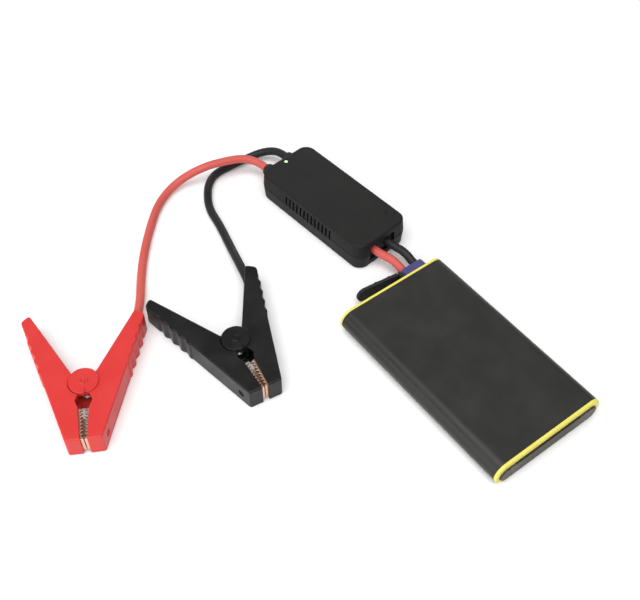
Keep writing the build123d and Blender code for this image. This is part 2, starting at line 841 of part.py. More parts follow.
def cover_half(handle, end_wall):
    """Half cover as a channel: two plates and an outer wall, open to the inner side."""
    plan = cover_outline(handle)
    solid = extrude(plan, amount=clamp_thick)
    rims = []
    for face in (solid.faces().sort_by(Axis.Z)[-1], solid.faces().sort_by(Axis.Z)[0]):
        for edge in face.edges():
            middle = edge @ 0.5
            if middle.Y > side_y(middle.X, tip_width * 0.45) or middle.X > nose_x - 0.1:
                rims.append(edge)
    solid = fillet(rims, cover_edge)
    grip_end = grip_start - grip_pitch * grip_count
    inset = clamp_wall + grip_wave
    back = handle_point(handle)[0] - 6
    if end_wall:
        back = handle_point(handle)[0] + 3.2
    front = nose_x - nose_wall
    hollow = Polyline(
        (front, side_y(front, clamp_wall)),
        (grip_start + 4, side_y(grip_start + 4, clamp_wall)),
        (grip_start, side_y(grip_start, inset)),
        (grip_end, side_y(grip_end, inset)),
        (grip_end - 3, side_y(grip_end - 3, clamp_wall)),
        (back, side_y(back, clamp_wall)),
        (back, -10),
        (front, -10),
        close=True,
    )
    return solid - up(make_face(hollow), plate_thick, clamp_thick - plate_thick)


def screw_axis():
    """Foot of the jaw screw on the outer side and its inward direction."""
    slope = radians(side_slope)
    foot = Vector(jaw_screw_x, side_y(jaw_screw_x), clamp_thick / 2)
    return foot, Vector(-sin(slope), -cos(slope), 0)


def screw_rod(start, end, radius):
    foot, inward = screw_axis()
    return rod(foot + inward * start, foot + inward * end, radius)


def jaw():
    """Toothed channel folded from copper-plated sheet."""
    back_x = jaw_start
    front_x = nose_x - nose_wall - jaw_end_gap
    seat = clamp_wall + jaw_seat
    count = int((front_x - back_x) / tooth_pitch)
    edge = []
    for index in range(count):
        share = index / count
        gap = tooth_gap + tooth_flare * (1 - share)
        x = back_x + (front_x - back_x) * share
        edge.append((x, gap + tooth_depth))
        edge.append((x + tooth_pitch / 2, gap))
    outer = [(front_x, side_y(front_x, seat)), (back_x, side_y(back_x, seat))]
    plan = make_face(Polyline(*edge, (front_x, tooth_gap), *outer, close=True))
    low = plate_thick + jaw_seat
    high = clamp_thick - plate_thick - jaw_seat
    solid = up(plan, low, high)
    pocket = Polyline(
        (back_x - 1, side_y(back_x - 1, seat + jaw_sheet)),
        (front_x - jaw_sheet, side_y(front_x - jaw_sheet, seat + jaw_sheet)),
        (front_x - jaw_sheet, -5),
        (back_x - 1, -5),
        close=True,
    )
    solid -= up(make_face(pocket), low + jaw_sheet, high - jaw_sheet)
    return solid - screw_rod(0, 8, jaw_screw_r + turn_gap)


def jaw_screw():
    return screw_rod(0.5, 1.3, jaw_head_r) + screw_rod(1.0, 5.0, jaw_screw_r)


def with_screw_hole(cover):
    cover -= screw_rod(-1, 1.35, jaw_head_r + fit_gap)
    return cover - screw_rod(-1, 4, jaw_screw_r + turn_gap)


def fixed_cover():
    cover = cover_half(fixed_handle, False)
    ear = Circle(ear_r)
    cover += up(ear, clamp_thick - plate_thick, clamp_thick)
    cover += up(ear, 0, plate_thick)
    cover -= up(Circle(pivot_r + turn_gap), -1, clamp_thick + 1)
    cover -= up(Circle(pivot_head_r + fit_gap), -1, 1.1)
    return with_screw_hole(cover)


def moving_cover():
    """Drawn like the fixed half, then mirrored; its ears sit inside the fixed half's."""
    cover = cover_half(moving_handle, True)
    clear = Circle(ear_r + ear_gap)
    cover -= up(clear, clamp_thick - plate_thick - 1, clamp_thick + 1)
    cover -= up(clear, -1, plate_thick + 1)
    reach = cover_outline(moving_handle) & Circle(ear_r + 6)
    level = clamp_thick - plate_thick
    for low, root in (
        (level - fit_gap - inner_ear_thick, (level - fit_gap - inner_ear_thick, level + 0.3)),
        (plate_thick + fit_gap, (plate_thick - 0.3, plate_thick + fit_gap + inner_ear_thick)),
    ):
        cover += up(Circle(inner_ear_r), low, low + inner_ear_thick)
        cover += up(reach, low, low + inner_ear_thick)
        cover += up(reach - clear, *root)
    cover -= up(Circle(pivot_r + turn_gap), -1, clamp_thick + 1)
    return mirror(with_screw_hole(cover), about=Plane.XZ)


def pivot_pin():
    pin = up(Circle(pivot_r), 0.6, clamp_thick)
    return pin + up(Circle(pivot_head_r), 0.2, 1.0)


def pivot_cap():
    """Disc over the pin with a raised, dimpled boss in the middle."""
    top = clamp_thick + cap_thick
    disc_top = top - cap_boss_rise
    disc = up(Circle(ear_r), clamp_thick, disc_top)
    disc = fillet(disc.faces().sort_by(Axis.Z)[-1].edges(), 0.4)
    boss = up(Circle(cap_boss_r), clamp_thick, top)
    boss = fillet(boss.faces().sort_by(Axis.Z)[-1].edges(), 0.2)
    return disc + boss - up(Circle(cap_dimple_r), top - 0.2, top + 1)


def torsion_spring():
    """Close-wound coil round the pivot pin, as a plain tube, with a leg into each handle."""
    room_low = plate_thick + fit_gap + inner_ear_thick
    low = room_low + fit_gap
    high = clamp_thick - low
    wire = spring_wire / 2
    wall = wire + 0.1
    coil = up(Circle(spring_r + wall) - Circle(spring_r - wall), low, high)
    a = radians(spring_leg_angle)
    for side, z in ((-1, low + wall), (1, high - wall)):
        root = Vector(spring_r * sin(a), -side * spring_r * cos(a), z)
        along = Vector(cos(a), side * sin(a), 0)
        coil += rod(root, root + along * spring_leg, wire)
    return coil


def crimp():
    """Copper barrel round the cable's end and the strip that joins it to the fixed jaw."""
    middle = clamp_thick / 2
    direction = Vector(cos(radians(-side_slope)), sin(radians(-side_slope)), 0)
    start = Vector(crimp_x, crimp_y(), middle)
    barrel = rod(start, start + direction * crimp_length, crimp_r)
    seat = clamp_wall + grip_wave + 0.6
    strip = Polyline(
        (crimp_x + crimp_length * 0.6, side_y(crimp_x + crimp_length * 0.6, seat)),
        (jaw_start + 3, side_y(jaw_start + 3, seat + 0.9)),
        (jaw_start + 3, side_y(jaw_start + 3, seat + 1.9)),
        (crimp_x + crimp_length * 0.6, side_y(crimp_x + crimp_length * 0.6, seat + 1.4)),
        close=True,
    )
    return barrel + up(make_face(strip), middle - 2.5, middle + 2.5)


def crimp_y():
    return side_y(crimp_x, clamp_wall + grip_wave + 0.6 + crimp_r - 0.3)


def clamp_parts():
    """Both clamps; the small pieces they share on the fixed side are one node of two."""
    flip = Plane.XZ
    own = {
        "fixed_cover": fixed_cover(),
        "moving_cover": moving_cover(),
        "fixed_jaw": jaw(),
        "moving_jaw": mirror(jaw(), about=flip),
        "moving_jaw_screw": mirror(jaw_screw(), about=flip),
        "pivot_cap": pivot_cap(),
        "torsion_spring": torsion_spring(),
    }
    shared = {
        "fixed_jaw_screws": jaw_screw(),
        "pivot_pins": pivot_pin(),
        "cable_crimps": crimp(),
    }
    nodes = {name: [] for name in shared}
    for colour, pivot, yaw in (("red", red_pivot, red_yaw), ("black", black_pivot, black_yaw)):
        place = Pos(pivot[0], pivot[1], 0) * Rot(0, 0, yaw)
        for name, shape in own.items():
            nodes[f"{colour}_{name}"] = place * shape
        for name, shape in shared.items():
            nodes[name].append(place * shape)
    return nodes


if __name__ == "__main__":
    os.makedirs("parts", exist_ok=True)
    nodes = bank_parts()
    nodes["plug_shell"] = plug_shell()
    nodes["plug_pins"] = plug_pins()
    nodes.update(short_leads())
    nodes.update(box_parts())
    nodes.update(clamp_parts())
    nodes["clamp_cable_red"] = clamp_cable("clamp_cable_red", -1, red_route, red_pivot, red_yaw)
    nodes["clamp_cable_black"] = clamp_cable(
        "clamp_cable_black", 1, black_route, black_pivot, black_yaw
    )
    for node, shape in nodes.items():
        solid = Compound(children=shape) if isinstance(shape, list) else shape
        export_step(solid, f"parts/{node}.step")
    print(len(nodes), "nodes")
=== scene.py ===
"""Studio scene of a pocket jump starter: battery bank, control box and two clamp cables."""

import json
import math

import bmesh
import bpy
from bpy.props import FloatProperty, FloatVectorProperty, IntProperty, PointerProperty
from mathutils import Matrix, Vector


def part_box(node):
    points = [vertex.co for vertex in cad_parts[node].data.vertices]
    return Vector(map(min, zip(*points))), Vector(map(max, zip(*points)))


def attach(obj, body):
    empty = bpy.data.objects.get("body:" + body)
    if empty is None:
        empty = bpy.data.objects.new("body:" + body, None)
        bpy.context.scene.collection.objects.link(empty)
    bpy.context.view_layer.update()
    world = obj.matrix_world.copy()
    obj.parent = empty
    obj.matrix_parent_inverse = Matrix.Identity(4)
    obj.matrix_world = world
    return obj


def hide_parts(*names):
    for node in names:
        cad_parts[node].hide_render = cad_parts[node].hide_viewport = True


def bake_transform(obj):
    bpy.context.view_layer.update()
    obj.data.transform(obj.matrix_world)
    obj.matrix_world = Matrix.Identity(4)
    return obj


bl_info = {
    "name": "Pocket Jump Starter",
    "version": (1, 0, 0),
    "blender": (4, 5, 0),
    "location": "3D Viewport > Sidebar > Jump Starter",
    "description": "Finishes and small parts of a pocket jump starter with clamp cables",
    "category": "Add Mesh",
}

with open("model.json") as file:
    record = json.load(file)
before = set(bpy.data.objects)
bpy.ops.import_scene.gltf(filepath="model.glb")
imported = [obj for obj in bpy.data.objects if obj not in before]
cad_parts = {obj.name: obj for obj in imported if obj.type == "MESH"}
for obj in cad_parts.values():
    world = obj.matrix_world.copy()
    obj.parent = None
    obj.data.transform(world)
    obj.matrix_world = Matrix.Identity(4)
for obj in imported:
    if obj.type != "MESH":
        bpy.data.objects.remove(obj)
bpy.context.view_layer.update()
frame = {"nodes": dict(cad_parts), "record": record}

MM = 0.001
MERGE = 2e-6
SHARP_ANGLE = 32.0
CLAMPS = {
    "red": {"pivot": (-185.3, 117.3), "yaw": -118.8, "moving": "red_jaw_half"},
    "black": {"pivot": (-99.7, 90.2), "yaw": -98.2, "moving": "black_jaw_half"},
}
CLAMP_THICK = 15.0
SIDE_SLOPE = 17.2
JAW_SCREW_X = 31.5
NOSE_X = 38.6
NOSE_SIDE_Y = 10.2
BOX = (15.07, 146.83, 5.14)
BOX_LENGTH = 98.2
BOOT_PITCH = 17.5
LEAD_Z = 10.25
BOOT_R = 0.0058
BOOT_NECK_R = 0.0046
BOOT_TIP_R = 0.0041
BOOT_END = 0.0066
SCREW_HEAD_R = 0.0021
SCREW_SHAFT_R = 0.0012
SCREW_SLOT = 0.0003
SCREW_SLOT_DEPTH = 0.00045

RED_ROUTE = [
    (1.32, 202.02, 10.25),
    (0.74, 208.5, 10.25),
    (-2.6, 214.2, 11.4),
    (-8.2, 218.6, 12.8),
    (-18.5, 222.0, 13.8),
    (-34.5, 226.5, 13.8),
    (-52.0, 233.0, 5.5),
    (-71.5, 226.0, 2.8),
    (-89.0, 208.5, 2.8),
    (-104.0, 191.0, 2.8),
    (-116.5, 173.5, 2.8),
    (-128.5, 153.0, 6.2),
    (-140.4, 139.93, 7.5),
    (-149.03, 131.6, 7.5),
]
BLACK_ROUTE = [
    (18.75, 203.59, 10.25),
    (18.17, 210.06, 10.25),
    (14.6, 217.0, 8.6),
    (8.2, 222.0, 6.2),
    (-1.6, 225.0, 3.9),
    (-13.0, 226.6, 2.8),
    (-25.5, 226.4, 2.8),
    (-34.5, 221.0, 2.8),
    (-41.5, 212.0, 2.8),
    (-48.0, 199.5, 2.8),
    (-50.5, 183.5, 2.8),
    (-55.5, 164.5, 3.4),
    (-61.8, 142.0, 7.0),
    (-65.64, 127.18, 7.5),
    (-70.78, 116.34, 7.5),
]


# ---- sizes and colours that a user would change ----
class JumpStarterSizes(bpy.types.PropertyGroup):
    edge_round: FloatProperty(
        name="Edge round",
        description="Small round on the moulded edges",
        default=0.00018,
        min=0.0,
        unit="LENGTH",
        subtype="DISTANCE",
    )
    cable_diameter: FloatProperty(
        name="Cable diameter",
        description="Outside diameter of the clamp cables",
        default=0.0055,
        unit="LENGTH",
        subtype="DISTANCE",
    )
    spring_wire: FloatProperty(
        name="Spring wire",
        description="Diameter of the torsion spring's wire",
        default=0.0013,
        unit="LENGTH",
        subtype="DISTANCE",
    )
    spring_turns: IntProperty(
        name="Spring turns", description="Turns of each torsion spring", default=4, min=1
    )
    boot_rings: IntProperty(
        name="Boot rings", description="Grooves round each cable boot", default=2, min=0
    )


def colour_property(name, description, value):
    return FloatVectorProperty(
        name=name, description=description, default=value, subtype="COLOR", size=3, min=0, max=1
    )


class JumpStarterColours(bpy.types.PropertyGroup):
    sleeve: colour_property("Sleeve", "Anodised sleeve of the bank", (0.031, 0.031, 0.029))
    trim: colour_property("Trim rings", "Plastic rings at the bank's ends", (0.74, 0.66, 0.12))
    window: colour_property("Front window", "Smoked window", (0.022, 0.019, 0.014))
    box: colour_property("Control box", "Box shells", (0.0052, 0.0053, 0.0052))
    red_clamp: colour_property("Red clamp", "Covers of the red clamp", (0.575, 0.031, 0.028))
    black_clamp: colour_property(
        "Black clamp", "Covers of the black clamp", (0.0028, 0.0030, 0.0030)
    )
    red_cable: colour_property("Red cable", "Silicone of the red cable", (0.535, 0.088, 0.072))
    black_cable: colour_property(
        "Black cable", "Silicone of the black cable", (0.009, 0.009, 0.0095)
    )
    plug: colour_property("Plug", "Plug and jump socket", (0.056, 0.054, 0.17))
    copper: colour_property("Copper", "Clamp jaws", (0.74, 0.45, 0.33))
    brass: colour_property("Contacts", "Plated plug contacts", (0.83, 0.63, 0.26))
    light: colour_property("Status light", "Light on the control box", (0.45, 0.88, 0.42))


class JumpStarterStage(bpy.types.PropertyGroup):
    floor: colour_property("Floor", "Studio floor", (0.93, 0.93, 0.935))
    key_power: FloatProperty(
        name="Key light",
        description="Large soft light from above",
        default=19.0,
        min=0,
        unit="POWER",
    )
    side_power: FloatProperty(
        name="Side light", description="Long light at the left", default=6.0, min=0, unit="POWER"
    )
    edge_power: FloatProperty(
        name="Edge light", description="Strip behind the camera", default=3.0, min=0, unit="POWER"
    )
    rim_power: FloatProperty(
        name="Rim light", description="Low strip at the far side", default=3.0, min=0, unit="POWER"
    )
    sky: FloatProperty(name="Surround", description="Brightness of the white room", default=0.28)


# ---- shader node groups ----
def node_group(name, inputs, outputs):
    """A new shader group with named inputs (name, type, default) and outputs (name, type)."""
    tree = bpy.data.node_groups.new(name, "ShaderNodeTree")
    for label, kind, default in inputs:
        socket = tree.interface.new_socket(name=label, in_out="INPUT", socket_type=kind)
        if default is not None:
            socket.default_value = default
    for label, kind in outputs:
        tree.interface.new_socket(name=label, in_out="OUTPUT", socket_type=kind)
    start = tree.nodes.new("NodeGroupInput")
    end = tree.nodes.new("NodeGroupOutput")
    return tree, start, end


def noise(tree, vector, scale, detail, roughness=0.5):
    node = tree.nodes.new("ShaderNodeTexNoise")
    node.inputs["Detail"].default_value = detail
    node.inputs["Roughness"].default_value = roughness
    tree.links.new(vector, node.inputs["Vector"])
    if isinstance(scale, float):
        node.inputs["Scale"].default_value = scale
    else:
        tree.links.new(scale, node.inputs["Scale"])
    return node.outputs["Fac"]


def maths(tree, operation, first, second, clamp=False):
    node = tree.nodes.new("ShaderNodeMath")
    node.operation = operation
    node.use_clamp = clamp
    for socket, value in zip(node.inputs, (first, second)):
        if isinstance(value, (int, float)):
            socket.default_value = value
        else:
            tree.links.new(value, socket)
    return node.outputs[0]


def remap(tree, value, low, high, new_low, new_high):
    node = tree.nodes.new("ShaderNodeMapRange")
    for label, number in (
        ("From Min", low),
        ("From Max", high),
        ("To Min", new_low),
        ("To Max", new_high),
    ):
        node.inputs[label].default_value = number
    tree.links.new(value, node.inputs["Value"])
    return node.outputs["Result"]


def mix_colour(tree, factor, first, second):
    node = tree.nodes.new("ShaderNodeMix")
    node.data_type = "RGBA"
    tree.links.new(factor, node.inputs["Factor"])
    for socket, value in zip((node.inputs[6], node.inputs[7]), (first, second)):
        if hasattr(value, "is_linked"):
            tree.links.new(value, socket)
        else:
            socket.default_value = (*value[:3], 1.0)
    return node.outputs[2]


def grain_group():
    """Spark-eroded mould texture: fine pits over a broad unevenness."""
    tree, start, end = node_group(
        "Mould Grain",
        [("Vector", "NodeSocketVector", None), ("Scale", "NodeSocketFloat", 2600.0)],
        [("Height", "NodeSocketFloat"), ("Mask", "NodeSocketFloat")],
    )
    vector, scale = start.outputs["Vector"], start.outputs["Scale"]
    fine = noise(tree, vector, scale, 3.0, 0.6)
    pits = tree.nodes.new("ShaderNodeTexVoronoi")
    tree.links.new(vector, pits.inputs["Vector"])
    tree.links.new(maths(tree, "MULTIPLY", scale, 0.6), pits.inputs["Scale"])
    broad = noise(tree, vector, maths(tree, "MULTIPLY", scale, 0.04), 2.0)
    bumps = maths(tree, "ADD", fine, maths(tree, "MULTIPLY", pits.outputs["Distance"], 0.5))
    uneven = maths(tree, "MULTIPLY", broad, 0.6)
    tree.links.new(maths(tree, "ADD", bumps, uneven), end.inputs["Height"])
    tree.links.new(maths(tree, "MULTIPLY", broad, fine), end.inputs["Mask"])
    return tree


def handling_group():
    """Faint wipe marks and hairline scratches from handling, as a mask and a shade."""
    tree, start, end = node_group(
        "Handling Marks",
        [
            ("Vector", "NodeSocketVector", None),
            ("Base", "NodeSocketColor", (0.5, 0.5, 0.5, 1.0)),
            ("Marked", "NodeSocketColor", (0.6, 0.6, 0.6, 1.0)),
            ("Amount", "NodeSocketFloat", 0.3),
            ("Scale", "NodeSocketFloat", 60.0),
        ],
        [("Color", "NodeSocketColor"), ("Mask", "NodeSocketFloat")],
    )
    vector = start.outputs["Vector"]
    cloudy = noise(tree, vector, start.outputs["Scale"], 4.0, 0.55)
    stretch = tree.nodes.new("ShaderNodeMapping")
    stretch.inputs["Rotation"].default_value = (0.0, 0.0, math.radians(24))
    stretch.inputs["Scale"].default_value = (1.0, 26.0, 8.0)
    tree.links.new(vector, stretch.inputs["Vector"])
    finer = maths(tree, "MULTIPLY", start.outputs["Scale"], 1.4)
    hair = noise(tree, stretch.outputs["Vector"], finer, 2.0)
    lines = remap(tree, hair, 0.64, 0.70, 0.0, 1.0)
    wiped = remap(tree, cloudy, 0.38, 0.70, 0.0, 1.0)
    both = maths(tree, "ADD", maths(tree, "MULTIPLY", lines, 0.35), wiped, clamp=True)
    mask = maths(tree, "MULTIPLY", both, start.outputs["Amount"], clamp=True)
    shade = mix_colour(tree, mask, start.outputs["Base"], start.outputs["Marked"])
    tree.links.new(shade, end.inputs["Color"])
    tree.links.new(both, end.inputs["Mask"])
    return tree


def dust_group():
    """Fine dust that settles on faces that look up."""
    tree, start, end = node_group(
        "Settled Dust",
        [
            ("Vector", "NodeSocketVector", None),
            ("Base", "NodeSocketColor", (0.5, 0.5, 0.5, 1.0)),
            ("Dust", "NodeSocketColor", (0.34, 0.31, 0.28, 1.0)),
            ("Amount", "NodeSocketFloat", 0.05),
        ],
        [("Color", "NodeSocketColor"), ("Mask", "NodeSocketFloat")],
    )
    vector = start.outputs["Vector"]
    geometry = tree.nodes.new("ShaderNodeNewGeometry")
    split = tree.nodes.new("ShaderNodeSeparateXYZ")
    tree.links.new(geometry.outputs["Normal"], split.inputs[0])
    upward = remap(tree, split.outputs["Z"], 0.3, 0.95, 0.0, 1.0)
    cloudy = remap(tree, noise(tree, vector, 55.0, 3.0), 0.35, 0.75, 0.3, 1.0)
    specks = remap(tree, noise(tree, vector, 1500.0, 2.0), 0.62, 0.72, 0.0, 2.2)
    film = maths(tree, "MULTIPLY", upward, maths(tree, "ADD", cloudy, specks))
    mask = maths(tree, "MULTIPLY", film, start.outputs["Amount"], clamp=True)
    shade = mix_colour(tree, mask, start.outputs["Base"], start.outputs["Dust"])
    tree.links.new(shade, end.inputs["Color"])
    tree.links.new(mask, end.inputs["Mask"])
    return tree


def lines_group():
    """Drawing or brushing lines along one axis, as a height."""
    tree, start, end = node_group(
        "Drawn Lines",
        [
            ("Vector", "NodeSocketVector", None),
            ("Stretch", "NodeSocketVector", (1.0, 0.02, 1.0)),
            ("Scale", "NodeSocketFloat", 1800.0),
        ],
        [("Height", "NodeSocketFloat")],
    )
    scaled = tree.nodes.new("ShaderNodeVectorMath")
    scaled.operation = "MULTIPLY"
    tree.links.new(start.outputs["Vector"], scaled.inputs[0])
    tree.links.new(start.outputs["Stretch"], scaled.inputs[1])
    height = noise(tree, scaled.outputs[0], start.outputs["Scale"], 3.0, 0.6)
    tree.links.new(height, end.inputs["Height"])
    return tree


def group_node(tree, name, **values):
    """Place a shared group in a material, building it the first time."""
    makers = {
        "Mould Grain": grain_group,
        "Handling Marks": handling_group,
        "Settled Dust": dust_group,
        "Drawn Lines": lines_group,
    }
    node = tree.nodes.new("ShaderNodeGroup")
    node.node_tree = bpy.data.node_groups.get(name) or makers[name]()
    for label, value in values.items():
        socket = node.inputs[label]
        if hasattr(value, "is_linked"):
            tree.links.new(value, socket)
        else:
            socket.default_value = value
    return node


def lighter(colour, factor, lift=0.0):
    return tuple(min(1.0, channel * factor + lift) for channel in colour[:3])


def finish(
    name,
    colour,
    rough=0.45,
    grain=2600.0,
    depth=0.00002,
    marks=0.25,
    dust=0.01,
    metallic=0.0,
    coat=0.0,
    stretch=None,
    specular=0.25,
    marked=None,
):
    """Material with grain or drawn lines, handling marks and dust; stretch gives drawn lines."""
    found = bpy.data.materials.get(name)
    if found:
        return found
    material = bpy.data.materials.new(name)
    material.use_nodes = True
    material.diffuse_color = (*colour[:3], 1.0)
    tree = material.node_tree
    shader = tree.nodes["Principled BSDF"]
    shader.inputs["Metallic"].default_value = metallic
    shader.inputs["Coat Weight"].default_value = coat
    shader.inputs["Coat Roughness"].default_value = 0.18
    shader.inputs["Specular IOR Level"].default_value = specular
    place = tree.nodes.new("ShaderNodeTexCoord").outputs["Object"]
    base = (*colour[:3], 1.0)
    worn = (*(marked or lighter(colour, 1.5, 0.006)), 1.0)
    handled = group_node(tree, "Handling Marks", Vector=place, Base=base, Marked=worn, Amount=marks)
    clean = handled.outputs["Color"]
    dusty = group_node(tree, "Settled Dust", Vector=place, Base=clean, Amount=dust)
    tree.links.new(dusty.outputs["Color"], shader.inputs["Base Color"])
    if stretch:
        surface = group_node(tree, "Drawn Lines", Vector=place, Stretch=stretch, Scale=grain)
    else:
        surface = group_node(tree, "Mould Grain", Vector=place, Scale=grain)
    height = surface.outputs["Height"]
    uneven = remap(tree, handled.outputs["Mask"], 0.0, 1.0, rough - 0.05, rough + 0.07)
    fine = maths(tree, "MULTIPLY", maths(tree, "SUBTRACT", height, 0.5), 0.10)
    tree.links.new(maths(tree, "ADD", uneven, fine, clamp=True), shader.inputs["Roughness"])
    bump = tree.nodes.new("ShaderNodeBump")
    bump.inputs["Strength"].default_value = 0.6
    bump.inputs["Distance"].default_value = depth
    tree.links.new(height, bump.inputs["Height"])
    tree.links.new(bump.outputs["Normal"], shader.inputs["Normal"])
    return material


# ---- mesh helpers ----
def colours():
    return bpy.context.scene.jump_starter_colours


def sizes():
    return bpy.context.scene.jump_starter_sizes


def body_of(node):
    for body, nodes in frame["record"]["behaviour"]["bodies"].items():
        if node in nodes:
            return body
    raise RuntimeError(f"no body holds {node}")


def link_mesh(bm, name, material):
    """Turn a finished bmesh into an object at the origin."""
    mesh = bpy.data.meshes.new(name)
    bm.to_mesh(mesh)
    bm.free()
    mesh.materials.append(material)
    piece = bpy.data.objects.new(name, mesh)
    bpy.context.scene.collection.objects.link(piece)
    return piece


def shade(bm):
    """Smooth faces with sharp edges where two faces meet at more than the angle."""
    limit = math.radians(SHARP_ANGLE)
    for face in bm.faces:
        face.smooth = True
    for edge in bm.edges:
        edge.smooth = len(edge.link_faces) == 2 and edge.calc_face_angle(0.0) < limit


def round_edges(piece, width):
    """Live bevel of the sharp edges, and normals that keep flat faces flat."""
    if width > 0:
        bevel = piece.modifiers.new("edge_round", "BEVEL")
        bevel.width = width
        bevel.segments = 2
        bevel.limit_method = "ANGLE"
        bevel.angle_limit = math.radians(SHARP_ANGLE)
        bevel.use_clamp_overlap = False
        bevel.harden_normals = False
    normals = piece.modifiers.new("flat_faces", "WEIGHTED_NORMAL")
    normals.keep_sharp = True
    normals.weight = 60
    return piece


def settle(piece, node, body=None):
    """Piece stands for the CAD node and rides on its body."""
    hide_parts(node)
    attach(piece, body or body_of(node))
    return piece


def moulded(node, material, width=None):
    """Merged copy of a CAD node with rounded edges in place of the node."""
    bm = bmesh.new()
    bm.from_mesh(frame["nodes"][node].data)
    bmesh.ops.remove_doubles(bm, verts=bm.verts, dist=MERGE)
    bmesh.ops.dissolve_limit(
        bm, angle_limit=math.radians(0.4), verts=bm.verts, edges=bm.edges, delimit={"NORMAL"}
    )
    shade(bm)
    piece = link_mesh(bm, f"{node}_finished", material)
    round_edges(piece, sizes().edge_round if width is None else width)
    return settle(piece, node)


def paint(node, material):
    """Give a CAD node that stays its finished material."""
    slots = frame["nodes"][node].data.materials
    if not len(slots):
        slots.append(material)
    for index in range(len(slots)):
        slots[index] = material
    for slot in frame["nodes"][node].material_slots:
        slot.material = material


def clamp_matrix(colour):
    """Place of a clamp's own frame: +X to the nose, +Z up, pivot at the origin."""
    clamp = CLAMPS[colour]
    x, y = clamp["pivot"]
    turn = Matrix.Rotation(math.radians(clamp["yaw"]), 4, "Z")
    return Matrix.Translation((x * MM, y * MM, 0)) @ turn


def box_matrix():
    x, y, yaw = BOX
    turn = Matrix.Rotation(math.radians(yaw), 4, "Z")
    return Matrix.Translation((x * MM, y * MM, 0)) @ turn


def turned(profile, steps=48):
    """Solid of revolution about Z from (radius, height) points that start and end on the axis."""
    bm = bmesh.new()
    points = [bm.verts.new((radius, 0.0, height)) for radius, height in profile]
    edges = [bm.edges.new(pair) for pair in zip(points, points[1:])]
    bmesh.ops.spin(
        bm,
        geom=points + edges,
        cent=(0, 0, 0),
        axis=(0, 0, 1),
        angle=math.tau,
        steps=steps,
        use_merge=True,
    )
    bmesh.ops.remove_doubles(bm, verts=bm.verts, dist=1e-7)
    bmesh.ops.recalc_face_normals(bm, faces=bm.faces)
    return bm


def half_head(bm, side):
    """Half of a slotted screw head: a disc cut along the slot, then raised."""
    base = Matrix.Translation((0, 0, -SCREW_SLOT_DEPTH))
    disc = bmesh.ops.create_circle(
        bm, cap_ends=True, segments=32, radius=SCREW_HEAD_R, matrix=base
    )
    verts = disc["verts"]
    edges = {edge for vert in verts for edge in vert.link_edges}
    faces = {face for vert in verts for face in vert.link_faces}
    kept = bmesh.ops.bisect_plane(
        bm,
        geom=[*verts, *edges, *faces],
        plane_co=(0, side * SCREW_SLOT, 0),
        plane_no=(0, side, 0),
        clear_inner=True,
    )["geom"]
    half = [item for item in kept if isinstance(item, bmesh.types.BMFace)]
    raised = bmesh.ops.extrude_face_region(bm, geom=half)["geom"]
    top = [item for item in raised if isinstance(item, bmesh.types.BMVert)]
    bmesh.ops.translate(bm, verts=top, vec=(0, 0, SCREW_SLOT_DEPTH))
    bmesh.ops.recalc_face_normals(bm, faces=bm.faces)


def round_curve(name, route, radius, around, along):
    """Object of one open NURBS spline with the route as its control points, in metres."""
    curve = bpy.data.curves.new(name, "CURVE")
    curve.dimensions = "3D"
    curve.bevel_depth = radius
    curve.bevel_resolution = around
    curve.resolution_u = along
    curve.use_fill_caps = True
    spline = curve.splines.new("NURBS")
    spline.points.add(len(route) - 1)
    for point, place in zip(spline.points, route):
        point.co = (*place, 1.0)
    spline.order_u = 3
    spline.use_endpoint_u = True
    piece = bpy.data.objects.new(name, curve)
    bpy.context.scene.collection.objects.link(piece)
    return piece


def cord_curve(name, route, diameter, material):
    """Round cable whose route is given in millimetres."""
    places = [tuple(value * MM for value in place) for place in route]
    piece = round_curve(name, places, diameter / 2, around=8, along=14)
    piece.data.materials.append(material)
    return piece


def silicone(name, colour):
    return finish(
        name, colour, rough=0.46, grain=900.0, depth=0.00003, marks=0.18, dust=0.012, specular=0.3
    )


def black_moulding():
    return finish(
        "Moulded Black", colours().box, rough=0.56, grain=2200.0, depth=0.00004, dust=0.012
    )


def black_rubber():
    return finish("Black Rubber", (0.016, 0.016, 0.017), rough=0.62, grain=1400.0, dust=0.02)


def plated_steel():
    return finish(
        "Plated Steel",
        (0.60, 0.60, 0.61),
        rough=0.30,
        grain=3000.0,
        depth=0.00001,
        metallic=1.0,
        dust=0.0,
        stretch=(1.0, 1.0, 0.1),
    )


def copper():
    return finish(
        "Copper Plate",
        colours().copper,
        rough=0.30,
        grain=1700.0,
        depth=0.00003,
        marks=0.5,
        dust=0.0,
        metallic=1.0,
        marked=(0.86, 0.62, 0.46),
    )


